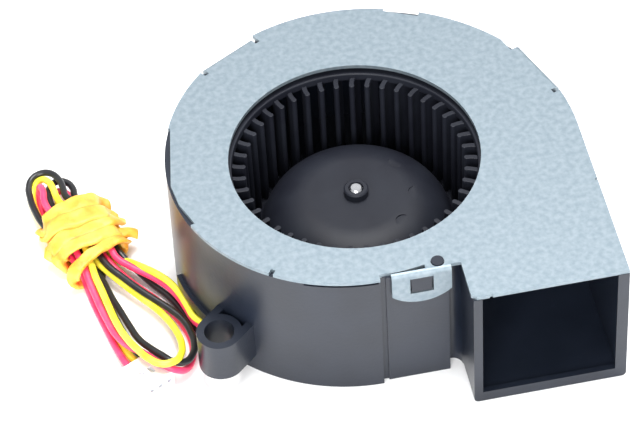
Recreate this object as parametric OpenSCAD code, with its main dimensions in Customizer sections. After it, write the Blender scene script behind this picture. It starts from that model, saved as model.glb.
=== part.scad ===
// Centrifugal DC blower, 80 mm class, 30 mm thick: a moulded scroll with a clipped-on
// sheet-steel cover, a squirrel-cage wheel on an outer-rotor motor, and a bound lead.
// The rotor axis is Z, the base stands on z = 0 and the outlet faces -Y.

/* [Housing] */
// Overall height of the blower
body_h = 30; // [28:0.5:32]
// Distance between the four arc centres of the scroll
scroll_step = 3.7; // [3.4:0.1:3.9]
// Outside radius of the smallest scroll arc
scroll_r = 34.4; // [34.2:0.1:34.8]
// Wall thickness of the scroll
wall = 1.7; // [1.5:0.1:1.8]
// Thickness of the floor
floor_t = 2; // [1.8:0.1:2.2]
// Front face of the outlet, measured from the rotor axis
outlet_y = 41.1; // [40:0.1:44]
// Outside left wall of the outlet
outlet_x = 13.9; // [13.7:0.1:14.1]

/* [Cover] */
// Radius of the air inlet
inlet_r = 24.3; // [23.9:0.1:24.6]
// Sheet thickness of the cover
sheet = 0.8; // [0.6:0.1:0.9]
// Outside bend radius of the cover's tabs
bend_r = 1; // [0.9:0.1:1.2]

/* [Mounting ears] */
// Radius of the screw hole in each ear
ear_hole_r = 2.9; // [2:0.1:3]
// Outside radius of each ear's boss
ear_r = 4.4; // [4.2:0.1:4.6]
// Top of the ears above the base
ear_top = 13.1; // [11:0.1:14]
// Underside of the ears above the base
ear_bottom = 4.1; // [3.9:0.1:5]

/* [Blade wheel] */
// Number of blades
blades = 45; // [36:1:48]
// Outside radius of the wheel
wheel_r = 26.2; // [25.9:0.1:26.4]
// Radius at the blades' inner edges
blade_in_r = 21.6; // [21.3:0.1:22]
// Thickness of one blade
blade_t = 1; // [0.8:0.05:1.1]
// Top of the wheel above the base
wheel_top = 28.1; // [27.5:0.1:28.3]
// Radius of the motor hub
hub_r = 19; // [18.8:0.1:19.3]
// Top of the hub above the base
hub_top = 19; // [18.6:0.1:19.4]

/* [Motor] */
// Radius of the shaft
shaft_r = 1.5; // [1.5:0.1:1.6]
// Outside radius of the bearings
bearing_r = 4; // [3.9:0.1:4.1]
// Outside radius of the stator core
stator_r = 12.4; // [12:0.1:12.5]

/* [Lead] */
// Diameter of one insulated wire
wire_d = 1.4; // [1.2:0.1:1.4]
// Distance between the contacts of the connector
pitch = 2; // [2:0.1:2.1]

/* [Hidden] */
$fn = 96;

// scroll: four arcs whose centres stand on a small square, then a straight outlet
half_step = scroll_step / 2;
mid_r = scroll_r + scroll_step;
big_r = mid_r + scroll_step;
tongue_r = 31.5;                  // arc beside the tongue, concentric with the wheel
side_x = half_step + big_r;       // outside right wall of the outlet
wall_top = body_h - sheet;
nose_out_r = 2;                   // hollow between the tongue and the outlet
nose_in_r = nose_out_r + wall;
nose = [outlet_x - nose_out_r, -sqrt(pow(tongue_r - wall + nose_in_r, 2) - pow(outlet_x - nose_out_r, 2))];
reach = 70;                       // longer than any side of the housing
lip = 0.5;                        // thickening round the outlet's mouth
edge_r = 1;                       // rounding of the outlet's lower edges

// cover tabs: [direction of the tab, distance of its outer face, left end, right end]
front_tab = [-90, 32.7, -11.7, -0.3];
rear_left_tab = [120, 38.15, -6.1, 6.1];
rear_right_tab = [20.7, 43, -6.8, 6.8];
tabs = [front_tab, rear_left_tab, rear_right_tab];
tab_drop = 7.9;                   // length of a tab at its middle
tab_side = 5.6;                   // and at its ends
notch = 1.4;                      // relief cut beside each tab
seat_gap = 0.05;                  // between a tab and the wall behind it
fold_lap = 0.15;                  // how far the plate laps the start of a bend
fold_step = 0.02;                 // by which a bend is lower and wider than the plate
window = [4.5, 4];                // hole of a tab: width and height
window_drop = 1.4;                // from the cover's top to the hole
catch_out = 0.7;                  // how far a catch stands out of the wall
pin_at = [9.45, -30.55];
pin_r = 1.2;

// ears: [boss centre, direction from the boss to the wall]
ears = [[[-31.7, -23.55], 42], [[33, 33], 225]];
ear_rib = 1.6;
ear_web = 1.8;

// lead exit: a groove under the floor, then a slanting tunnel through the wall
pad_at = [-9.6, -6.3];
bend_at = [-25.5, -16.3];
exit_at = [-33.2, -13.1];
groove_w = 3 * wire_d + 0.8;
groove_h = wire_d + 0.4;
tunnel_h = 3 * wire_d + 0.5;

// motor levels
pocket_z = 0.9;
tube_top = 10.4;
tube_r = bearing_r + 1;
race_h = 3;
lower_race_z = 2.1;
upper_race_z = tube_top - race_h - 0.1;
boss_top = 3.4;
board_z = 2.7;
board_t = 1;
core_z = 5.8;
core_h = 3.8;
insulator_t = 0.6;
coil_over = 0.8;
poles = 4;
arm_w = 3.2;
yoke_r = 15;
yoke_t = 0.85;
yoke_z = 4.4;
yoke_top = 13;
magnet_t = 1.3;
disc_z = 4.8;                     // floor of the blade wheel
disc_t = 1.2;
shell = 1.3;
ring_h = 1.8;
bush_r = 2.25;
ring_in_r = 23.75;
bush_z = 11.8;
bush_top = 17.6;
boss_r = 4.4;
cap_r = 2.4;                      // collar round the end of the shaft
cap_top = 20.7;
dome_r = 10;
mark_turns = [36, -10, -50];      // ejector marks on the hub
mark_at = 11.7;
mark_r = 1.6;
mark_depth = 0.32;
blade_arc = 6;
blade_lean = 3;

// lead routes: [x, y, z] of the wires' centre lines, hand laid
fan_black = [[-33.2, -13.4, 0.9], [-35.3, -11.4, 0.9], [-36.6, -8.4, 0.9], [-38, -4.6, 0.9],
    [-39.9, -0.8, 1.1], [-42.3, 2.6, 1.5], [-45.1, 5.8, 2], [-47.6, 8.8, 2.4]];
fan_red = [[-33.2, -13.2, 2.4], [-35.2, -11.2, 2.4], [-36.4, -8.2, 2.4], [-37.8, -4.4, 2.4],
    [-39.7, -0.6, 2.5], [-42.1, 2.9, 2.9], [-44.8, 6.2, 3.5], [-47.4, 9.2, 4]];
fan_yellow = [[-33.2, -13, 3.9], [-35, -11, 4.1], [-36.1, -7.9, 4.2], [-37.3, -3.9, 4.1],
    [-39, 0.1, 4.1], [-41.1, 3.8, 4.4], [-43.6, 7.3, 4.8], [-46.4, 10.4, 5.2]];
plug_black = [[-51.6, -3.6, 1.9], [-49.8, -8, 1.3], [-48, -12.4, 1.2], [-46.1, -16.6, 1.8],
    [-45.3, -18.1, 2.2], [-44.9, -18.9, 2.2]];
plug_yellow = [[-53.8, 0.2, 1.9], [-52, -7, 1.2], [-50, -12.8, 1.2], [-47.9, -17.6, 1.8],
    [-47.1, -19, 2.2], [-46.7, -19.8, 2.2]];
plug_red = [[-55.8, 2.4, 2.1], [-54.2, -6.6, 1.2], [-52, -13.2, 1.2], [-49.7, -18.5, 1.8],
    [-48.9, -19.9, 2.2], [-48.5, -20.7, 2.2]];
plug_at = [-44.05, -25.2];
plug_turn = 26.6;
plug_size = [6.5, 5.2, 4.4];
flange_size = [3 * pitch + 1.9, 1.7, 4.4];
contact_z = 2.2;

// bundle: a flat solid between its two end loops, bound at its waist
near_loop = [-40.9, -11.6];
near_loop_r = 4.6;
far_loop = [-57.7, 30.3];
far_loop_r = 5.4;
waist = [-52.4, 14.4];
waist_turn = 16;
waist_w = 12;
band_l = 12;
hank_low = 0.8;
hank_high = 6.2;
band_t = 1.2;

module arc_piece(centre, radius, corner) {
    intersection() {
        translate(centre) circle(radius);
        translate(corner) square(reach);
    }
}

// the scroll's plan, grown or shrunk by a given amount
module scroll_2d(grow) {
    h = half_step;
    arc_piece([h, -h], big_r + grow, [h, -h]);
    arc_piece([h, h], mid_r + grow, [h - reach, h]);
    arc_piece([-h, h], scroll_r + grow, [-h - reach, h - reach]);
    arc_piece([0, 0], tongue_r + grow, [-h, h - reach]);
}

// fills the corner between the tongue's arc and the outlet, then rounds it hollow
module nose_web(radius, arc_r) {
    inside = nose * (arc_r - 0.5) / norm(nose);
    difference() {
        polygon([inside, nose, [nose.x + radius, nose.y], [outlet_x + wall + 2, nose.y + 6], [8, -24]]);
        translate(nose) circle(radius + 0.03);
    }
}

module outline_2d() {
    scroll_2d(0);
    nose_web(nose_out_r, tongue_r);
    translate([-0.7, front_seat_y()]) square([nose.x - nose_out_r * 0.3 + 0.7, 3]);
}

module cavity_2d() {
    scroll_2d(-wall);
    translate([outlet_x + wall, -outlet_y - 1])
        square([side_x - outlet_x - 2 * wall, outlet_y + 1 - half_step]);
    nose_web(nose_in_r, tongue_r - wall);
}

function front_seat_y() = -(front_tab[1] - sheet - seat_gap);

// places children so that +Y points out of a tab's fold
module at_tab(tab) {
    rotate(tab[0] - 90) children();
}

module seat_cuts() {
    for (tab = [rear_left_tab, rear_right_tab])
        at_tab(tab)
            translate([tab[2] - notch, tab[1] - sheet - seat_gap, wall_top - tab_drop - 1])
                cube([tab[3] - tab[2] + 2 * notch, 5, tab_drop + 2]);
    // clearance for the inside of each bend
    for (tab = tabs)
        at_tab(tab)
            translate([tab[2] - 0.1, tab[1] - sheet - seat_gap - 0.3, wall_top - 0.3])
                cube([tab[3] - tab[2] + 0.2, 0.7, 1]);
}

// catch that a tab's window clips over; its ramp faces up
module cover_catch(tab) {
    middle = (tab[2] + tab[3]) / 2;
    seat = tab[1] - sheet - seat_gap;
    low = body_h - window_drop - window.y + 0.2;
    high = body_h - window_drop - 0.4;
    at_tab(tab)
        translate([middle - window.x / 2 + 0.3, 0, 0])
            rotate([90, 0, 90])
                linear_extrude(window.x - 0.6)
                    polygon([[seat - 0.4, low], [seat + catch_out, low], [seat + 0.1, high], [seat - 0.4, high]]);
}

module outlet_block() {
    w = side_x - outlet_x;
    translate([outlet_x, -half_step, 0])
        rotate([90, 0, 0])
            linear_extrude(outlet_y - half_step)
                union() {
                    translate([0, edge_r]) square([w, wall_top - edge_r]);
                    translate([edge_r, 0]) square([w - 2 * edge_r, wall_top]);
                    for (x = [edge_r, w - edge_r]) translate([x, edge_r]) circle(edge_r);
                }
}

module ear(centre, turn) {
    reach_in = 10;
    translate([centre.x, centre.y, ear_bottom])
        rotate(turn)
            difference() {
                union() {
                    cylinder(r = ear_r, h = ear_top - ear_bottom);
                    for (side = [-1, 1])
                        translate([0, side * (ear_r - ear_rib / 2) - ear_rib / 2, 0])
                            cube([reach_in, ear_rib, ear_top - ear_bottom]);
                    translate([0, -ear_r + 0.5, 0]) cube([reach_in, 2 * ear_r - 1, ear_web]);
                }
                translate([0, 0, -1]) cylinder(r = ear_hole_r, h = ear_top);
            }
}

module band_between(from, to, width, low, high) {
    d = to - from;
    translate([from.x, from.y, low])
        rotate(atan2(d.y, d.x))
            translate([0, -width / 2, 0]) cube([norm(d), width, high - low]);
}

// raised strip on the wall that keeps the lead down
module lead_guide() {
    h = half_step;
    translate([-h, h, 5.6])
        linear_extrude(2.4)
            intersection() {
                difference() {
                    circle(scroll_r + 0.9);
                    circle(scroll_r - 0.5);
                }
                polygon([[0, 0], 50 * [cos(188), sin(188)], 50 * [cos(200), sin(200)], 50 * [cos(209), sin(209)]]);
            }
}

module scroll_housing() {
    tunnel_out = exit_at + (exit_at - bend_at) * 0.3;
    color([0.09, 0.09, 0.1])
        difference() {
            union() {
                difference() {
                    union() {
                        linear_extrude(wall_top) outline_2d();
                        outlet_block();
                        for (e = ears) ear(e[0], e[1]);
                        lead_guide();
                    }
                    difference() {
                        translate([0, 0, floor_t]) linear_extrude(body_h) cavity_2d();
                        at_tab(rear_left_tab)
                            translate([-9, rear_left_tab[1] - sheet - seat_gap - 1.4, 0]) cube([18, 9, body_h]);
                        mouth_lip();
                    }
                    seat_cuts();
                }
                for (tab = tabs) cover_catch(tab);
                cylinder(r = tube_r + 1.4, h = boss_top);
                for (a = [30, 150, 270]) rotate(a) translate([9, 0, 0]) cylinder(r = 1, h = board_z);
                band_between(pad_at * 1.45, bend_at, groove_w + 2, 0.5, groove_h + 1.2);
                translate([bend_at.x, bend_at.y, 0.5]) cylinder(r = groove_w / 2 + 1, h = tunnel_h + 0.6);
                band_between(bend_at, exit_at * 0.985, groove_w + 2, 0.5, tunnel_h + 1.1);
                translate([pin_at.x, pin_at.y, wall_top - 2]) cylinder(r = pin_r, h = 2 + sheet + 0.3);
            }
            translate([0, 0, pocket_z]) cylinder(r = tube_r, h = body_h);
            band_between(pad_at, bend_at, groove_w, -1, groove_h);
            translate([bend_at.x, bend_at.y, -1]) cylinder(r = groove_w / 2 + 0.35, h = tunnel_h + 1);
            band_between(bend_at, tunnel_out, groove_w, -1, tunnel_h);
            translate([pad_at.x, pad_at.y, -1])
                rotate(atan2(pad_at.y, pad_at.x)) translate([-1.5, -groove_w / 2, 0]) cube([3.4, groove_w, 5]);
            translate([side_x - 0.5, -outlet_y + 2.2, body_h - 8.2]) cube([1, 3, 1.4]);
            rim_gap();
            difference() {
                translate([0, 0, -0.1]) cylinder(r = 17, h = 0.5);
                translate([0, 0, -0.2]) cylinder(r = 16.2, h = 0.7);
            }
        }
}

// gap between the cover and the front of the wall
module rim_gap() {
    translate([-half_step, half_step, wall_top - 0.45])
        linear_extrude(1)
            intersection() {
                difference() {
                    circle(scroll_r + 1);
                    circle(scroll_r - 0.6);
                }
                polygon([[0, 0], 50 * [cos(246), sin(246)], 50 * [cos(269.5), sin(269.5)]]);
            }
}

// thicker rim inside the mouth of the outlet
module mouth_lip() {
    x0 = outlet_x + wall;
    w = side_x - outlet_x - 2 * wall;
    translate([x0, -outlet_y, floor_t - 1])
        difference() {
            cube([w, 1.2, wall_top]);
            translate([0, -1, 1 + lip]) cube([w - lip, 4, wall_top]);
        }
}

// plan of the cover's plate, flush with the wall but for its small steps
module plate_2d() {
    difference() {
        union() {
            scroll_2d(0);
            translate([nose.x - 5, -outlet_y + 0.1]) square([side_x - nose.x + 5, outlet_y - half_step - 0.1]);
            nose_web(0.4, tongue_r);
        }
        circle(inlet_r);
        // front: everything left of the outlet and in front of the fold
        translate([-front_tab[3] - notch - 0.3, -reach - front_tab[1] + bend_r - fold_lap])
            square([outlet_x + front_tab[3] + notch + 0.05, reach]);
        translate([-front_tab[3] - notch - 0.3, -reach - 31.3]) square([notch + 0.3 + fold_step, reach]);
        translate([-front_tab[2] - fold_step, -reach - 31.7])
            square([outlet_x - 0.25 + front_tab[2] + fold_step, reach]);
        translate([outlet_x - 0.25, -outlet_y + 0.1]) rotate(45) square([1.3, 1.3], center = true);
        translate([17.3, -outlet_y]) square([0.6, 0.8], center = true);
        // rear folds with their relief notches
        for (tab = [rear_left_tab, rear_right_tab])
            at_tab(tab) {
                translate([tab[2] - notch * 0.7, tab[1] - bend_r + fold_lap])
                    square([tab[3] - tab[2] + notch * 1.4, reach]);
                for (x = [tab[2] - notch * 0.7, tab[3] - fold_step])
                    translate([x, tab[1] - bend_r - 0.9]) square([notch * 0.7 + fold_step, reach]);
            }
        at_tab(rear_right_tab)
            translate([rear_right_tab[2] - 5.2, rear_right_tab[1] - 2.1]) square([5.2, reach]);
        // stepped left edge and two small notches
        polygon([[-33.4, 15.2], [-35.8, 0.2], [-35.1, -5], [-33.6, -9], [-33, -10.6], [-42, -13], [-42, 17]]);
        rotate(231) translate([33.6, 0]) square([1.4, 0.9], center = true);
        translate([side_x, -17]) square([1, 0.5], center = true);
        at_tab([65]) translate([-3.6, 39.8]) square([7.2, 4]);
    }
}

// one tab, bent down at its fold and rounded at its lower edge
module cover_tab(tab) {
    len = tab[3] - tab[2];
    sagitta = tab_drop - tab_side;
    round_r = (len * len / 4 + sagitta * sagitta) / (2 * sagitta);
    at_tab(tab)
        difference() {
            intersection() {
                translate([tab[2], 0, -fold_step])
                    rotate([90, 0, 90])
                        linear_extrude(len) {
                            translate([tab[1] - sheet, body_h - tab_drop]) square([sheet, tab_drop - bend_r]);
                            intersection() {
                                translate([tab[1] - bend_r, body_h - bend_r])
                                    difference() {
                                        circle(bend_r);
                                        circle(bend_r - sheet);
                                    }
                                translate([tab[1] - bend_r, body_h - bend_r]) square(bend_r);
                            }
                        }
                translate([(tab[2] + tab[3]) / 2, tab[1] + 2, body_h - tab_drop + round_r])
                    rotate([90, 0, 0]) cylinder(r = round_r, h = 5);
            }
            translate([(tab[2] + tab[3] - window.x) / 2, tab[1] - 3, body_h - window_drop - window.y])
                cube([window.x, 5, window.y]);
        }
}

module top_cover() {
    color([0.72, 0.74, 0.76])
        difference() {
            union() {
                translate([0, 0, wall_top]) linear_extrude(sheet) plate_2d();
                for (tab = tabs) cover_tab(tab);
            }
            translate([pin_at.x, pin_at.y, wall_top - 2]) cylinder(r = pin_r + 0.1, h = 5);
        }
}

module ring(outer, inner, low, high) {
    translate([0, 0, low])
        difference() {
            cylinder(r = outer, h = high - low);
            translate([0, 0, -1]) cylinder(r = inner, h = high - low + 2);
        }
}

module bearing_tube() {
    color([0.75, 0.6, 0.3])
        difference() {
            translate([0, 0, pocket_z]) cylinder(r = tube_r, h = tube_top - pocket_z);
            translate([0, 0, -1]) cylinder(r = bearing_r, h = 1 + lower_race_z + race_h);
            cylinder(r = bearing_r - 0.5, h = body_h);
            translate([0, 0, upper_race_z]) cylinder(r = bearing_r, h = body_h);
        }
}

race_in_r = shaft_r + 0.75;
race_out_r = bearing_r - 0.65;

module race_outer(low) { color([0.7, 0.71, 0.73]) ring(bearing_r, race_out_r, low, low + race_h); }
module race_inner(low) { color([0.66, 0.67, 0.7]) ring(race_in_r, shaft_r, low, low + race_h); }
module upper_bearing_outer() { race_outer(upper_race_z); }
module lower_bearing_outer() { race_outer(lower_race_z); }
module upper_bearing_inner() { race_inner(upper_race_z); }
module lower_bearing_inner() { race_inner(lower_race_z); }

module bearing_balls() {
    ball_r = (race_out_r - race_in_r) / 2 - 0.04;
    color([0.8, 0.8, 0.82])
        for (low = [lower_race_z, upper_race_z], i = [0:6])
            rotate(i * 360 / 7)
                translate([(race_in_r + race_out_r) / 2, 0, low + race_h / 2]) sphere(ball_r, $fn = 24);
}

module stator_2d(spread) {
    difference() {
        union() {
            circle(tube_r + 1.6 + spread);
            for (i = [0:poles - 1])
                rotate(45 + i * 360 / poles) {
                    translate([0, -arm_w / 2 - spread]) square([stator_r - 1, arm_w + 2 * spread]);
                    intersection() {
                        difference() {
                            circle(stator_r);
                            circle(stator_r - 1.6);
                        }
                        polygon([[0, 0], 20 * [cos(37), -sin(37)], [20, 0], 20 * [cos(37), sin(37)]]);
                    }
                }
        }
        circle(tube_r);
    }
}

module stator_core() {
    color([0.45, 0.46, 0.48]) translate([0, 0, core_z]) linear_extrude(core_h) stator_2d(0);
}

module insulator(low) {
    color([0.85, 0.84, 0.78]) translate([0, 0, low]) linear_extrude(insulator_t) stator_2d(0);
}

module upper_insulator() { insulator(core_z + core_h); }

module lower_insulator() {
    insulator(core_z - insulator_t);
    color([0.85, 0.84, 0.78]) ring(tube_r + 1.2, tube_r, boss_top, core_z - insulator_t);
}

module stator_coils() {
    low = core_z - insulator_t - coil_over;
    high = core_z + core_h + insulator_t + coil_over;
    color([0.72, 0.4, 0.2])
        for (i = [0:poles - 1])
            rotate(45 + i * 360 / poles)
                difference() {
                    translate([tube_r + 1.9, -arm_w / 2 - 1.5, low])
                        cube([stator_r - tube_r - 4.3, arm_w + 3, high - low]);
                    translate([0, -arm_w / 2, low + coil_over])
                        cube([stator_r, arm_w, high - low - 2 * coil_over]);
                }
}

module circuit_board() {
    color([0.12, 0.35, 0.2])
        translate([0, 0, board_z])
            difference() {
                cylinder(r = stator_r - 0.1, h = board_t);
                translate([0, 0, -1]) cylinder(r = tube_r + 1.6, h = 3);
            }
}

module on_board(radius, turn, size) {
    rotate(turn)
        translate([radius - size.x / 2, -size.y / 2, board_z + board_t]) cube(size);
}

module driver_chip() { color([0.1, 0.1, 0.1]) on_board(9.4, 0, [3.4, 4, 0.55]); }
module hall_sensor() { color([0.13, 0.13, 0.13]) on_board(11.2, 90, [1.5, 2.6, 0.55]); }

module board_parts() {
    color([0.6, 0.5, 0.38])
        for (turn = [172, 188, 262, 278]) on_board(9, turn, [2, 1.2, 0.5]);
}

// a round wire or rod swept along a list of points
function heading(path, i) =
    let(d = path[min(i + 1, len(path) - 1)] - path[max(i - 1, 0)]) d / norm(d);

module swept(path, diameter, sides = 8) {
    n = len(path);
    points = [for (i = [0:n - 1])
        let(t = heading(path, i), s0 = cross(t, [0, 0, 1]), s = s0 / norm(s0), u = cross(s, t))
        for (k = [0:sides - 1])
            path[i] + diameter / 2 * (cos(k * 360 / sides) * s + sin(k * 360 / sides) * u)];
    skin = [for (i = [0:n - 2], k = [0:sides - 1])
        [i * sides + k, i * sides + (k + 1) % sides, (i + 1) * sides + (k + 1) % sides, (i + 1) * sides + k]];
    polyhedron(points, concat([[for (k = [sides - 1:-1:0]) k]], skin,
        [[for (k = [0:sides - 1]) (n - 1) * sides + k]]));
}

// the three wires inside the base, flat in the groove and stacked in the tunnel
module inner_leads() {
    u = pad_at / norm(pad_at);
    across = [-u.y, u.x] * (wire_d + 0.05);
    shades = [[0.05, 0.05, 0.05], [0.8, 0.1, 0.2], [0.9, 0.8, 0.1]];
    ends = [fan_black[0], fan_red[0], fan_yellow[0]];
    flat_z = wire_d / 2 + 0.2;
    for (i = [0:2]) {
        pad = pad_at + across * (i - 1);
        ramp = pad * 1.18;
        flat = bend_at * 0.9 + across * (i - 1);
        turn = bend_at + [-0.6, 0.9] + across * (i - 1) * 0.7;
        color(shades[i])
            swept([[pad.x, pad.y, board_z - wire_d / 2], [ramp.x, ramp.y, flat_z], [flat.x, flat.y, flat_z],
                [turn.x, turn.y, flat_z + i * 0.7], ends[i]], wire_d);
    }
}

// one forward-curved blade in plan, with a rounded inner edge
module blade_2d() {
    centre = [blade_in_r + blade_arc * sin(blade_lean), -blade_arc * cos(blade_lean)];
    first = 90 + blade_lean;
    last = 50;
    translate(centre)
        intersection() {
            difference() {
                circle(blade_arc + blade_t / 2, $fn = 48);
                circle(blade_arc - blade_t / 2, $fn = 48);
            }
            polygon([[0, 0], 12 * [cos(last), sin(last)], 12 * [cos(70), sin(70)], 12 * [cos(first), sin(first)]]);
        }
    translate([blade_in_r, 0]) circle(blade_t / 2 + 0.04, $fn = 24);
}

module dome_2d(inset) {
    top = hub_top - inset;
    side = hub_r - inset;
    r = dome_r - inset;
    translate([0, disc_z]) square([side, top - r - disc_z]);
    translate([0, disc_z]) square([side - r, top - disc_z]);
    intersection() {
        translate([side - r, top - r]) circle(r);
        translate([0, disc_z]) square(reach);
    }
}

// the wheel is one moulding: its hub, blades and ring are kept apart so that each stays simple
module impeller_hub() {
    color([0.16, 0.17, 0.19])
        difference() {
            rotate_extrude()
                difference() {
                    union() {
                        dome_2d(0);
                        translate([hub_r - 1, disc_z]) square([wheel_r - hub_r + 1, disc_t]);
                        difference() {
                            translate([hub_r - 1, disc_z]) square([3.4, 3.4]);
                            translate([hub_r + 2.4, disc_z + disc_t + 2.4]) circle(2.4);
                        }
                        polygon([[0, hub_top - 1], [cap_r, hub_top - 1], [cap_r, cap_top - 0.25],
                            [cap_r - 0.25, cap_top], [0, cap_top]]);
                    }
                    difference() {
                        translate([0, -shell]) dome_2d(shell);
                        translate([yoke_r, 0]) square([1.2, reach]);
                        translate([0, yoke_top]) square([boss_r, reach]);
                    }
                    square([bush_r, bush_top]);
                    square([shaft_r, reach]);
                }
            for (turn = mark_turns)
                rotate(turn) translate([mark_at, 0, hub_top - mark_depth]) cylinder(r = mark_r, h = 5);
        }
}

// every blade stands on the hub's disc; its inner part rises inside the ring
module impeller_blades() {
    color([0.16, 0.17, 0.19])
        for (i = [0:blades - 1])
            rotate(i * 360 / blades) {
                translate([0, 0, disc_z + disc_t])
                    linear_extrude(wheel_top - ring_h - disc_z - disc_t) blade_2d();
                translate([0, 0, wheel_top - ring_h - 1])
                    linear_extrude(1 + ring_h / 2)
                        intersection() {
                            blade_2d();
                            circle(ring_in_r - 0.01);
                        }
            }
}

module impeller_ring() {
    color([0.16, 0.17, 0.19]) ring(wheel_r, ring_in_r, wheel_top - ring_h, wheel_top);
}

module hub_bush() { color([0.78, 0.66, 0.36]) ring(bush_r, shaft_r, bush_z, bush_top); }

module shaft() {
    tip = 0.5;
    color([0.75, 0.76, 0.78])
        rotate_extrude()
            polygon([[0, 1.1], [shaft_r - 0.2, 1.1], [shaft_r, 1.3], [shaft_r, cap_top + 0.1 - tip],
                [shaft_r - tip, cap_top + 0.1], [0, cap_top + 0.1]]);
}

module rotor_yoke() {
    color([0.55, 0.56, 0.58])
        difference() {
            translate([0, 0, yoke_z]) cylinder(r = yoke_r, h = yoke_top - yoke_z);
            translate([0, 0, yoke_z - 1]) cylinder(r = yoke_r - yoke_t, h = yoke_top - yoke_z + 1 - yoke_t);
            cylinder(r = bush_r, h = body_h);
        }
}

module ring_magnet() {
    color([0.25, 0.25, 0.27])
        ring(yoke_r - yoke_t, yoke_r - yoke_t - magnet_t, yoke_z + 0.2, yoke_top - yoke_t - 0.4);
}

// light coil spring that presses the inner races apart
module preload_spring() {
    turns = 2;
    steps = 32;
    wire = 0.3;
    low = tube_top - 0.1 + wire / 2;
    rise = bush_z - wire - tube_top + 0.1;
    color([0.7, 0.7, 0.72])
        swept([for (i = [0:steps])
            let(a = i * turns * 360 / steps)
            [(shaft_r + 0.4) * cos(a), (shaft_r + 0.4) * sin(a), low + rise * i / steps]], wire, 6);
}

module retaining_ring() {
    color([0.5, 0.5, 0.52])
        difference() {
            ring(shaft_r + 1, shaft_r, lower_race_z - 0.5, lower_race_z);
            translate([0, -0.8, 0]) cube([4, 1.6, 4]);
        }
}

module wire_pair(shade, fan_path, plug_path) {
    color(shade) {
        swept(fan_path, wire_d);
        swept(plug_path, wire_d);
    }
}

module lead_black() { wire_pair([0.06, 0.06, 0.07], fan_black, plug_black); }
module lead_red() { wire_pair([0.85, 0.15, 0.28], fan_red, plug_red); }
module lead_yellow() { wire_pair([0.95, 0.87, 0.2], fan_yellow, plug_yellow); }

module hank_2d() {
    w = waist_w / 2;
    a = waist + w * [cos(waist_turn), sin(waist_turn)];
    b = waist - w * [cos(waist_turn), sin(waist_turn)];
    translate(near_loop) circle(near_loop_r);
    translate(far_loop) circle(far_loop_r);
    polygon([near_loop + [near_loop_r * 0.94, 1.9], a + [1, -6], a + [-1.6, 6], far_loop + [far_loop_r * 0.98, -1],
        far_loop - [far_loop_r * 0.98, 1], b + [-1.6, 6], b + [1, -6], near_loop - [near_loop_r * 0.96, 1.5]]);
}

module lead_hank() {
    color([0.7, 0.55, 0.15])
        translate([0, 0, hank_low]) linear_extrude(hank_high - hank_low) hank_2d();
}

module rubber_band() {
    color([0.85, 0.55, 0.15])
        translate([waist.x, waist.y, 0])
            rotate(waist_turn)
                difference() {
                    translate([-waist_w / 2 - 2.4, -band_l / 2, 0])
                        cube([waist_w + 4.8, band_l, hank_high + band_t]);
                    rotate(-waist_turn)
                        translate([-waist.x, -waist.y, hank_low])
                            linear_extrude(hank_high - hank_low) hank_2d();
                }
}

module at_plug() {
    translate([plug_at.x, plug_at.y, 0]) rotate(plug_turn) children();
}

module connector_housing() {
    hole = 0.8;
    slot = 0.9;
    color([0.93, 0.93, 0.92])
        at_plug()
            difference() {
                union() {
                    translate([-plug_size.x / 2, 0, 0]) cube(plug_size);
                    translate([-flange_size.x / 2, plug_size.y - 0.01, 0]) cube(flange_size);
                }
                for (i = [-1:1]) {
                    translate([i * pitch - hole / 2, -1, contact_z - hole / 2]) cube([hole, 3.5, hole]);
                    translate([i * pitch, plug_size.y + flange_size.y - 1.3, contact_z])
                        rotate([-90, 0, 0]) cylinder(r = wire_d / 2 + 0.05, h = 3);
                    translate([i * pitch - slot / 2, 2.2, plug_size.z - 0.6]) cube([slot, 1.6, 2]);
                }
            }
}

module connector_contacts() {
    color([0.75, 0.72, 0.6])
        at_plug()
            for (i = [-1:1])
                translate([i * pitch - 0.3, 1, contact_z - 0.3]) cube([0.6, 1.4, 0.6]);
}

scroll_housing();
top_cover();
bearing_tube();
upper_bearing_outer();
lower_bearing_outer();
bearing_balls();
stator_core();
upper_insulator();
lower_insulator();
stator_coils();
circuit_board();
driver_chip();
hall_sensor();
board_parts();
inner_leads();
impeller_hub();
impeller_blades();
impeller_ring();
hub_bush();
shaft();
rotor_yoke();
ring_magnet();
upper_bearing_inner();
lower_bearing_inner();
preload_spring();
retaining_ring();
lead_black();
lead_red();
lead_yellow();
lead_hank();
rubber_band();
connector_housing();
connector_contacts();
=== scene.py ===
# The looks of a centrifugal blower with a clipped-on cover. Lengths are in metres, in the frame of the solids.
import math

import bmesh
import bpy
from mathutils import Matrix, Vector, noise


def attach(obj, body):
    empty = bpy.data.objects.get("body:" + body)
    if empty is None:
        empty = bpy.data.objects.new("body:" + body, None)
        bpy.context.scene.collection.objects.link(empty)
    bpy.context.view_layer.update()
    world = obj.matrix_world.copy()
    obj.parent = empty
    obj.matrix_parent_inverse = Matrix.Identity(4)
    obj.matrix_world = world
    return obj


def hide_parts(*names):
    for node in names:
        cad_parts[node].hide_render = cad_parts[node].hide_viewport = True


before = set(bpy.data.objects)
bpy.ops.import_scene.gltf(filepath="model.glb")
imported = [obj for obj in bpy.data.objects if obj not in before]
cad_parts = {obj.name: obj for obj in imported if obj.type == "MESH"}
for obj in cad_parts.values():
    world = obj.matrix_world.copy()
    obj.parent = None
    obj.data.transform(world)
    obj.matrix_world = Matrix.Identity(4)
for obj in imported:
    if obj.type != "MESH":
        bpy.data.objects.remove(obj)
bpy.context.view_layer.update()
scene = bpy.context.scene
mm = 0.001

# ---------- camera and studio ----------
cameraView = {
    "azimuth": -8.82, "elevation": 47.31, "roll": -3.41,  # degrees
    "distance": 658.6 * mm, "slide": (-7.81 * mm, 7.81 * mm), "lens": 186.5,
}


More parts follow.
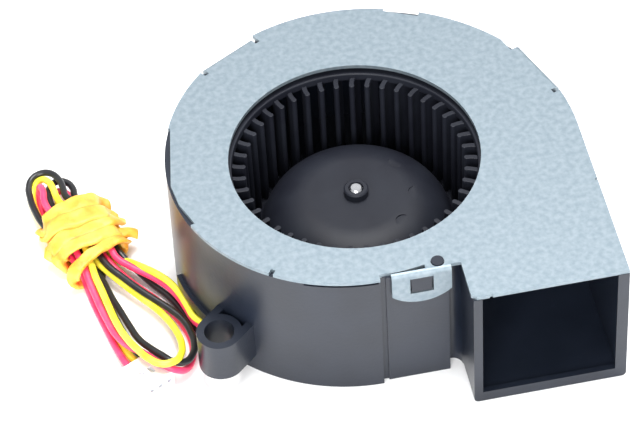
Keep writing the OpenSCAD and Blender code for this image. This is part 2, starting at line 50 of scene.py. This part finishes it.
def placeCamera(settings):
    a, e, r = (math.radians(settings[k]) for k in ("azimuth", "elevation", "roll"))
    back = Vector((math.sin(a) * math.cos(e), -math.cos(a) * math.cos(e), math.sin(e)))
    right = Vector((0, 0, 1)).cross(back).normalized()
    up = back.cross(right)
    x = math.cos(r) * right + math.sin(r) * up
    y = math.cos(r) * up - math.sin(r) * right
    camera = bpy.data.objects.new("camera", bpy.data.cameras.new("camera"))
    scene.collection.objects.link(camera)
    place = x * settings["slide"][0] + y * settings["slide"][1] + back * settings["distance"]
    camera.matrix_world = Matrix((x, y, back)).transposed().to_4x4()
    camera.location = place
    camera.data.lens = settings["lens"]
    camera.data.clip_start = 0.01
    scene.camera = camera
    return camera


camera = placeCamera(cameraView)
print("camera placed")

studio = {
    "floorSize": 6.0, "floorColour": (0.93, 0.93, 0.93, 1), "sky": (0.96, 0.98, 1.0, 1), "skyStrength": 0.7,
    "lamps": [  # name, place, size, power, colour
        ("keyLight", (0.05, 0.1, 1.0), 0.5, 14.0, (1.0, 1.0, 1.0)),
        ("sideLight", (0.9, 0.3, 0.7), 0.6, 3.0, (0.96, 0.98, 1.0)),
        ("frontLight", (-0.25, -0.9, 0.5), 0.7, 14.0, (1.0, 1.0, 1.0)),
    ],
}


def makeStudio(settings):
    bm = bmesh.new()
    bmesh.ops.create_grid(bm, x_segments=1, y_segments=1, size=settings["floorSize"] / 2)
    mesh = bpy.data.meshes.new("floor")
    bm.to_mesh(mesh)
    bm.free()
    floor = bpy.data.objects.new("floor", mesh)
    scene.collection.objects.link(floor)
    paper = bpy.data.materials.new("paper")
    paper.use_nodes = True
    shader = paper.node_tree.nodes["Principled BSDF"]
    shader.inputs["Base Color"].default_value = settings["floorColour"]
    shader.inputs["Roughness"].default_value = 0.9
    mesh.materials.append(paper)
    world = bpy.data.worlds.new("studio")
    world.use_nodes = True
    background = world.node_tree.nodes["Background"]
    background.inputs["Color"].default_value = settings["sky"]
    background.inputs["Strength"].default_value = settings["skyStrength"]
    scene.world = world
    for name, place, size, power, colour in settings["lamps"]:
        lamp = bpy.data.objects.new(name, bpy.data.lights.new(name, "AREA"))
        lamp.data.size = size
        lamp.data.energy = power
        lamp.data.color = colour
        lamp.location = place
        lamp.rotation_euler = Vector(place).to_track_quat("Z", "Y").to_euler()
        scene.collection.objects.link(lamp)
    scene.view_settings.view_transform = "Standard"


makeStudio(studio)
print("studio lit")

# ---------- finishes ----------
# colour and tint are mixed by mottle; grain is the depth of the bump in metres
finishes = {
    "housing_plastic": {"colour": (0.008, 0.011, 0.019), "tint": (0.012, 0.016, 0.027), "mottle": 90, "rough": (0.28, 0.38),
                        "grainScale": 1500, "grain": 0.00002},
    "cover_zinc": {"colour": (0.19, 0.24, 0.275), "tint": (0.25, 0.3, 0.335), "mottle": 900, "rough": (0.42, 0.56),
                   "metal": 0.6, "grainScale": 2600, "grain": 0.00001},
    "wheel_plastic": {"colour": (0.009, 0.01, 0.016), "tint": (0.013, 0.015, 0.022), "mottle": 120, "rough": (0.46, 0.56),
                      "grainScale": 1600, "grain": 0.00001, "specular": 0.25},
    "bearing_steel": {"colour": (0.6, 0.6, 0.62), "tint": (0.72, 0.72, 0.74), "mottle": 400, "rough": (0.18, 0.28),
                      "metal": 1, "grainScale": 3000, "grain": 0.000004},
    "yoke_steel": {"colour": (0.32, 0.32, 0.33), "tint": (0.44, 0.44, 0.45), "mottle": 300, "rough": (0.3, 0.45),
                   "metal": 1, "grainScale": 2400, "grain": 0.00001},
    "core_steel": {"colour": (0.2, 0.2, 0.21), "tint": (0.34, 0.34, 0.35), "mottle": 500, "rough": (0.4, 0.55),
                   "metal": 1, "grainScale": 2000, "grain": 0.00002},
    "insulator_plastic": {"colour": (0.68, 0.65, 0.54), "tint": (0.76, 0.73, 0.63), "mottle": 200, "rough": (0.45, 0.55),
                          "grainScale": 1500, "grain": 0.00001},
    "coil_copper": {"colour": (0.5, 0.2, 0.07), "tint": (0.66, 0.3, 0.12), "mottle": 1500, "rough": (0.22, 0.34),
                    "metal": 0.9, "grainScale": 3500, "grain": 0.00003},
    "board_green": {"colour": (0.02, 0.11, 0.05), "tint": (0.03, 0.16, 0.07), "mottle": 250, "rough": (0.3, 0.4),
                    "grainScale": 1800, "grain": 0.00001},
    "chip_black": {"colour": (0.014, 0.014, 0.015), "tint": (0.024, 0.024, 0.026), "mottle": 800, "rough": (0.5, 0.6),
                   "grainScale": 4000, "grain": 0.00001},
    "chip_tan": {"colour": (0.4, 0.28, 0.16), "tint": (0.5, 0.36, 0.22), "mottle": 900, "rough": (0.4, 0.5),
                 "grainScale": 3000, "grain": 0.00001},
    "brass": {"colour": (0.6, 0.43, 0.16), "tint": (0.7, 0.53, 0.24), "mottle": 300, "rough": (0.24, 0.34),
              "metal": 1, "grainScale": 2500, "grain": 0.00001},
    "magnet_grey": {"colour": (0.05, 0.05, 0.055), "tint": (0.08, 0.08, 0.085), "mottle": 700, "rough": (0.55, 0.65),
                    "grainScale": 2500, "grain": 0.00002},
    "wire_black": {"colour": (0.01, 0.01, 0.011), "tint": (0.016, 0.016, 0.018), "mottle": 300, "rough": (0.3, 0.38),
                   "grainScale": 1800, "grain": 0.00001},
    "wire_red": {"colour": (0.93, 0.035, 0.12), "tint": (0.98, 0.07, 0.17), "mottle": 300, "rough": (0.36, 0.44),
                 "grainScale": 1800, "grain": 0.00001},
    "wire_yellow": {"colour": (0.95, 0.82, 0.03), "tint": (1.0, 0.9, 0.08), "mottle": 300, "rough": (0.36, 0.44),
                    "grainScale": 1800, "grain": 0.00001},
    "inner_wires": {"colour": (0.05, 0.05, 0.055), "tint": (0.08, 0.08, 0.085), "mottle": 300, "rough": (0.4, 0.5),
                    "grainScale": 1800, "grain": 0.00001},
    "band_rubber": {"colour": (0.8, 0.34, 0.03), "tint": (0.95, 0.56, 0.1), "mottle": 260, "rough": (0.34, 0.55),
                    "grainScale": 900, "grain": 0.00012, "glow": 0.55},
    "plug_white": {"colour": (0.62, 0.63, 0.66), "tint": (0.68, 0.69, 0.72), "mottle": 300, "rough": (0.38, 0.46),
                   "grainScale": 1500, "grain": 0.00001, "glow": 0.15},
    "contact_tin": {"colour": (0.3, 0.29, 0.27), "tint": (0.4, 0.39, 0.36), "mottle": 900, "rough": (0.3, 0.4),
                    "metal": 1, "grainScale": 3000, "grain": 0.00001},
}


def makeFinish(name, look):
    material = bpy.data.materials.new(name)
    material.use_nodes = True
    nodes, links = material.node_tree.nodes, material.node_tree.links
    shader = nodes["Principled BSDF"]
    place = nodes.new("ShaderNodeTexCoord")
    mottle = nodes.new("ShaderNodeTexNoise")
    mottle.inputs["Scale"].default_value = look["mottle"]
    mottle.inputs["Detail"].default_value = 5
    links.new(place.outputs["Object"], mottle.inputs["Vector"])
    shades = nodes.new("ShaderNodeValToRGB")
    shades.color_ramp.elements[0].position = 0.35
    shades.color_ramp.elements[0].color = (*look["colour"], 1)
    shades.color_ramp.elements[1].position = 0.65
    shades.color_ramp.elements[1].color = (*look["tint"], 1)
    links.new(mottle.outputs["Fac"], shades.inputs["Fac"])
    links.new(shades.outputs["Color"], shader.inputs["Base Color"])
    gloss = nodes.new("ShaderNodeMapRange")
    gloss.inputs["To Min"].default_value, gloss.inputs["To Max"].default_value = look["rough"]
    links.new(mottle.outputs["Fac"], gloss.inputs["Value"])
    links.new(gloss.outputs["Result"], shader.inputs["Roughness"])
    grain = nodes.new("ShaderNodeTexNoise")
    grain.inputs["Scale"].default_value = look["grainScale"]
    grain.inputs["Detail"].default_value = 3
    links.new(place.outputs["Object"], grain.inputs["Vector"])
    bump = nodes.new("ShaderNodeBump")
    bump.inputs["Strength"].default_value = 1
    bump.inputs["Distance"].default_value = look["grain"]
    links.new(grain.outputs["Fac"], bump.inputs["Height"])
    links.new(bump.outputs["Normal"], shader.inputs["Normal"])
    shader.inputs["Metallic"].default_value = look.get("metal", 0)
    shader.inputs["Specular IOR Level"].default_value = look.get("specular", 0.5)
    shader.inputs["Coat Weight"].default_value = look.get("coat", 0)
    shader.inputs["Coat Roughness"].default_value = 0.25
    if "glow" in look:
        shader.inputs["Subsurface Weight"].default_value = look["glow"]
        shader.inputs["Subsurface Radius"].default_value = (1, 0.5, 0.2)
        shader.inputs["Subsurface Scale"].default_value = 0.0015
    return material


finish = {name: makeFinish(name, look) for name, look in finishes.items()}
nodeFinish = {
    "scroll_housing": "housing_plastic", "top_cover": "cover_zinc", "bearing_tube": "brass",
    "upper_bearing_outer": "bearing_steel", "lower_bearing_outer": "bearing_steel",
    "upper_bearing_inner": "bearing_steel", "lower_bearing_inner": "bearing_steel", "bearing_balls": "bearing_steel",
    "stator_core": "core_steel", "upper_insulator": "insulator_plastic", "lower_insulator": "insulator_plastic",
    "stator_coils": "coil_copper", "circuit_board": "board_green", "driver_chip": "chip_black",
    "hall_sensor": "chip_black", "board_parts": "chip_tan", "inner_leads": "inner_wires",
    "impeller_hub": "wheel_plastic", "impeller_blades": "wheel_plastic", "impeller_ring": "wheel_plastic",
    "hub_bush": "brass", "shaft": "bearing_steel", "rotor_yoke": "yoke_steel", "ring_magnet": "magnet_grey",
    "preload_spring": "bearing_steel", "retaining_ring": "bearing_steel",
    "connector_housing": "plug_white", "connector_contacts": "contact_tin",
}
for name, look in nodeFinish.items():
    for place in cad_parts[name].material_slots:
        place.material = finish[look]
print("finishes on")


def link(piece, body, look):
    scene.collection.objects.link(piece)
    piece.data.materials.clear()
    piece.data.materials.append(finish[look])
    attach(piece, body)
    return piece


# ---------- moulded and pressed pieces with eased edges ----------
shells = {  # new piece: node it stands for, body, width of the eased edge, flattest edge that is eased
    "scrollCase": ("scroll_housing", "housing", 0.25 * mm, 32),
    "pressedCover": ("top_cover", "housing", 0.12 * mm, 40),
    "wheelHub": ("impeller_hub", "rotor", 0.15 * mm, 35),
    "wheelBlades": ("impeller_blades", "rotor", 0.12 * mm, 40),
    "wheelRing": ("impeller_ring", "rotor", 0.3 * mm, 40),
    "plugShell": ("connector_housing", "housing", 0.15 * mm, 40),
}


def easeEdges(name, node, body, width, angle):
    bm = bmesh.new()
    bm.from_mesh(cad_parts[node].data)
    bm.transform(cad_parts[node].matrix_world)
    bmesh.ops.remove_doubles(bm, verts=bm.verts, dist=0.002 * mm)
    bmesh.ops.dissolve_limit(bm, angle_limit=math.radians(1), verts=bm.verts, edges=bm.edges)
    for face in bm.faces:
        face.smooth = True
    for edge in bm.edges:
        edge.smooth = edge.is_manifold and edge.calc_face_angle(0) < math.radians(angle)
    mesh = bpy.data.meshes.new(name)
    bm.to_mesh(mesh)
    bm.free()
    piece = link(bpy.data.objects.new(name, mesh), body, nodeFinish[node])
    ease = piece.modifiers.new("easedEdges", "BEVEL")
    ease.width = width
    ease.segments = 2
    ease.limit_method = "ANGLE"
    ease.angle_limit = math.radians(angle)
    ease.harden_normals = True
    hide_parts(node)
    return piece


shell = {name: easeEdges(name, *values) for name, values in shells.items()}
print("shells eased")

# ---------- lead ----------
# the hank lies along its own axes: across it, along it towards the far loops, and up
hank = {"middle": (-52.4, 14.4), "turn": 16, "wire": 1.4}


def inHank(across, along, up):
    c, s = math.cos(math.radians(hank["turn"])), math.sin(math.radians(hank["turn"]))
    x, y = hank["middle"]
    return (x + across * c - along * s, y + across * s + along * c, up)


wires = {
    "blackWire": {"finish": "wire_black", "node": "lead_black", "length": 0.239, "points": [
        (-33.2, -13.4, 0.9), (-35.2, -10.6, 0.9), (-36.3, -7.5, 0.9), (-37.4, -4.6, 0.9), (-39, -1.5, 1), (-41, 1.2, 1.3),
        (-43.6, 5.2, 2), (-45.4, 7.8, 2.7), inHank(4.4, -6, 3.3), inHank(4, 0, 3.3),
        # lower far loop
        inHank(3.3, 8, 3.6), (-52.9, 26.6, 3.6), (-53, 29, 3.6), (-54.1, 31, 3.6), (-55.8, 31.6, 3.6), (-57.4, 30.4, 3.6),
        (-58, 28.2, 3.6), (-57.9, 25.6, 3.6), inHank(-2.1, 8, 3.6), inHank(-1.7, 0, 2.6), inHank(-1.3, -6, 1.9),
        # near loop
        (-50.7, 3.7, 2), (-49.8, -0.8, 2.4), (-48.7, -5.4, 3), (-47.6, -10, 3.6), (-46.4, -14.4, 4.3), (-44.7, -17.6, 4.9),
        (-42.7, -20.2, 5.1), (-41, -22, 5), (-38.8, -22, 4.2), (-36.9, -19.7, 3.2), (-36, -16.5, 2.7), (-36.2, -13.2, 2.6),
        (-37.1, -10.2, 2.8), (-39, -7.3, 3.1), (-41.5, -4.4, 3.4), (-44, -1.5, 3.7), (-46.8, 2.3, 4), (-49.3, 5.8, 4.4),
        inHank(0.3, -6, 4.6), inHank(1, 0, 5),
        # upper far loop
        inHank(1.5, 9, 5.2), (-54.8, 25.8, 5.2), (-55, 28.3, 5.2), (-55.6, 31, 5), (-57, 33.2, 4.7), (-58.9, 33.9, 4.3),
        (-60.7, 33.2, 3.9), (-61.7, 31.2, 3.6), (-61.8, 28.6, 3.4), (-61.5, 25.6, 3.4), inHank(-5.8, 8, 3.4),
        inHank(-3.2, 0, 1.4), inHank(0.2, -6, 1.5),
        # to the plug
        (-50.9, 5, 0.8), (-50.6, 1, 0.8), (-50, -3.5, 0.8), (-49.2, -8, 0.8), (-48.2, -12, 0.9), (-46.6, -15.8, 1.5),
        (-45.3, -18.1, 2.2), (-44.9, -18.9, 2.2)]},
    "redWire": {"finish": "wire_red", "node": "lead_red", "length": 0.234, "points": [
        (-33.2, -13.2, 2.4), (-35, -10.4, 2.4), (-35.9, -7.3, 2.5), (-36.8, -4.5, 2.7), (-38.4, -1.3, 2.9), (-40.6, 1.3, 3.2),
        (-42.8, 3.3, 3.5), (-45.1, 5.2, 3.9), (-47.3, 7.5, 4.4), inHank(2.9, -6, 4.7), inHank(3, 0, 4.7),
        # lower far loop
        inHank(2.4, 8, 2.2), (-53.6, 26.5, 2.1), (-54, 28.6, 2.1), (-55.4, 30.1, 2.1), (-57.1, 30, 2.1), (-58.5, 28.7, 2.1),
        (-58.8, 26.2, 2.1), inHank(-3, 8, 2.2), inHank(0.6, 0, 3.2), inHank(1.5, -6, 3.1),
        # near loop
        (-46.9, 4.6, 2.4), (-44.2, 1, 1.8), (-41.6, -2, 1.3), (-39.4, -5, 0.9), (-37.9, -8, 0.8), (-36.9, -10.8, 0.8),
        (-36.3, -13.6, 0.8), (-36.4, -16.8, 0.8), (-37.2, -19.8, 1.3), (-38.7, -22.4, 2.4), (-40.6, -23.6, 4.2),
        (-42.4, -23, 5.1), (-43.9, -21.6, 5.1), (-45.4, -19.6, 5.1), (-46.8, -17.9, 4.9), (-48.4, -15.8, 4.2),
        (-50.4, -11.8, 3.4), (-51.5, -7.5, 3), (-52.3, -3.6, 3), (-52.9, -0.2, 3.2), (-53.5, 3.1, 3.6), inHank(-3.6, -6.5, 4.2),
        inHank(-3.4, 0, 4.9),
        # upper far loop
        inHank(-3.5, 6, 5.4), (-59.2, 24.4, 5.8), (-59.1, 27, 6), (-59.3, 29, 5.4), (-59.6, 30.2, 4), (-59.8, 30.1, 2.4),
        (-59.9, 28.8, 1.2), (-59.9, 26.8, 0.8), (-59.6, 24.2, 0.9), inHank(-4.3, 8, 1.2), inHank(-4.9, 0, 3.2),
        # to the plug
        inHank(-4, -6, 2.4), (-54, 3.6, 1.5), (-53.3, -0.8, 1), (-52.5, -5, 1), (-51.7, -9, 1.1), (-50.9, -13, 1.3),
        (-49.9, -17.2, 1.9), (-48.9, -19.9, 2.2), (-48.5, -20.7, 2.2)]},
    "yellowWire": {"finish": "wire_yellow", "node": "lead_yellow", "length": 0.230, "points": [
        (-33.2, -13, 3.9), (-35, -10.9, 4.1), (-35.8, -8, 4.2), (-36.7, -4.6, 4.2), (-38.2, -1.2, 4.3), (-40.4, 1.6, 4.4),
        (-42.6, 4, 4.2), (-44.8, 6.8, 3.2), inHank(3.6, -6, 1.9), inHank(3, 0, 1.8),
        # lower far loop
        inHank(1.5, 7, 0.9), inHank(2.3, 9.6, 0.8), inHank(2, 12, 0.8), inHank(0.4, 13.9, 0.8), inHank(-1.8, 13.7, 0.8),
        inHank(-3, 11.9, 0.8), inHank(-2.9, 9.4, 0.8), inHank(-2, 7, 0.9), inHank(-0.4, 0, 1.5), inHank(-0.5, -6, 3.1),
        # near loop
        (-49.6, 5.8, 2.9), (-47, 1.9, 2.6), (-44.2, -2.1, 2.4), (-41.6, -6, 2.5), (-39.9, -9.6, 2.7), (-38.8, -13.4, 3.1),
        (-38.5, -17.2, 3.9), (-39.2, -20.7, 5), (-40.9, -23.1, 6.2), (-43.2, -23.4, 6.5), (-45.4, -21.5, 6.4), (-47.3, -18, 5.9),
        (-48.9, -13.9, 5.2), (-50, -9.6, 4.7), (-50.8, -4.9, 4.5), (-51.5, -0.4, 4.5), (-52.2, 3.5, 4.6), inHank(-1.9, -6, 4.6),
        inHank(-1.2, 0, 4.9),
        # upper far loop
        inHank(-0.8, 8, 5.2), (-56.6, 25.6, 5.2), (-57, 28.4, 5.2), (-57.7, 30.8, 4.9), (-58.9, 32.3, 4.1), (-60.3, 32.2, 3),
        (-61.1, 30.8, 2.1), (-61.3, 28.6, 1.6), (-61, 25.6, 1.6), inHank(-5.4, 8, 1.8), inHank(-4.6, 0, 1.9),
        # to the plug
        inHank(-2.6, -6, 3), (-52.4, 4, 1.7), (-51.9, 0.4, 0.9), (-51.2, -4, 0.8), (-50.5, -8.4, 0.8), (-49.6, -12.5, 1),
        (-48.4, -16.4, 1.7), (-47.1, -19, 2.2), (-46.7, -19.8, 2.2)]},
}


def lay(name, settings):
    curve = bpy.data.curves.new(name, "CURVE")
    curve.dimensions = "3D"
    curve.bevel_depth = hank["wire"] * mm / 2
    curve.bevel_resolution = 4
    curve.resolution_u = 6
    curve.use_fill_caps = True
    line = curve.splines.new("BEZIER")
    line.bezier_points.add(len(settings["points"]) - 1)
    for knot, place in zip(line.bezier_points, settings["points"]):
        knot.co = Vector(place) * mm
        knot.handle_left_type = knot.handle_right_type = "AUTO"
    return link(bpy.data.objects.new(name, curve), "housing", settings["finish"])


wirePieces = {name: lay(name, settings) for name, settings in wires.items()}
for name, piece in wirePieces.items():
    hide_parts(wires[name]["node"], *(["lead_hank"] if name == "blackWire" else []))
print("wires laid")

# ---------- rubber band ----------
# each wrap goes once round the hank: place along it, slope, half width, half height, strap width, middle height
rubberBand = {
    "wraps": [
        (6.6, 0.05, 6.0, 3.3, 4.6, 3.6), (3.4, -0.12, 6.3, 3.5, 4.2, 3.7), (0.4, 0.1, 7.2, 3.2, 4.0, 3.4),
        (-2.6, 0.02, 6.6, 3.2, 3.6, 3.4), (-6.2, 0.3, 6.6, 3.1, 2.6, 3.3),
    ],
    "strap": 1.1, "knots": 20, "lumps": 0.45, "lumpSize": 3.2,
    "tail": [(5.2, -3.2, 5.4), (6.8, -3.2, 5.0), (8.4, -3.4, 4.4), (9.6, -3.8, 3.8)],
}


def strapProfile(width, thickness):
    curve = bpy.data.curves.new("strapProfile", "CURVE")
    curve.resolution_u = 3
    ring = curve.splines.new("BEZIER")
    ring.bezier_points.add(3)
    ring.use_cyclic_u = True
    for knot, place in zip(ring.bezier_points, ((width, 0), (0, thickness), (-width, 0), (0, -thickness))):
        knot.co = (place[0] * mm / 2, place[1] * mm / 2, 0)
        knot.handle_left_type = knot.handle_right_type = "AUTO"
    return bpy.data.objects.new("strapProfile", curve)


def strap(points, width, thickness, closed):
    curve = bpy.data.curves.new("strap", "CURVE")
    curve.dimensions = "3D"
    curve.bevel_mode = "OBJECT"
    profile = strapProfile(width, thickness)
    scene.collection.objects.link(profile)
    curve.bevel_object = profile
    curve.resolution_u = 4
    curve.use_fill_caps = not closed
    curve.twist_mode = "Z_UP"
    line = curve.splines.new("BEZIER")
    line.bezier_points.add(len(points) - 1)
    line.use_cyclic_u = closed
    for knot, place in zip(line.bezier_points, points):
        knot.co = Vector(place) * mm
        knot.handle_left_type = knot.handle_right_type = "AUTO"
    holder = bpy.data.objects.new("strap", curve)
    scene.collection.objects.link(holder)
    depsgraph = bpy.context.evaluated_depsgraph_get()
    mesh = bpy.data.meshes.new_from_object(holder.evaluated_get(depsgraph))
    for used in (holder, profile):
        bpy.data.objects.remove(used)
    return mesh


def makeBand(settings):
    bm = bmesh.new()
    for i, (along, slope, halfWide, halfHigh, width, middle) in enumerate(settings["wraps"]):
        ring = []
        for k in range(settings["knots"]):
            turn = 2 * math.pi * k / settings["knots"]
            c, sn = math.cos(turn), math.sin(turn)
            across = halfWide * math.copysign(abs(c) ** 0.75, c)
            up = middle + halfHigh * math.copysign(abs(sn) ** 0.8, sn)
            ring.append(inHank(across, along + slope * across + 0.3 * math.sin(2 * turn + i), max(up, 0.75)))
        part = strap(ring, width, settings["strap"], True)
        bm.from_mesh(part)
        bpy.data.meshes.remove(part)
    part = strap([inHank(*p) for p in settings["tail"]], 2.6, 1.2, False)
    bm.from_mesh(part)
    bpy.data.meshes.remove(part)
    bmesh.ops.remove_doubles(bm, verts=bm.verts, dist=0.01 * mm)
    bmesh.ops.recalc_face_normals(bm, faces=bm.faces)
    bmesh.ops.subdivide_edges(bm, edges=bm.edges, cuts=1, use_grid_fill=True)
    size = settings["lumpSize"] * mm
    for vert in bm.verts:
        push = noise.noise_vector(vert.co / size) * settings["lumps"] * mm
        vert.co += push
        vert.co.z = max(vert.co.z, 0.1 * mm)
    for face in bm.faces:
        face.smooth = True
    mesh = bpy.data.meshes.new("rubberWraps")
    bm.to_mesh(mesh)
    bm.free()
    piece = link(bpy.data.objects.new("rubberWraps", mesh), "housing", "band_rubber")
    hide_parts("rubber_band")
    return piece


makeBand(rubberBand)
print("rubber band on")
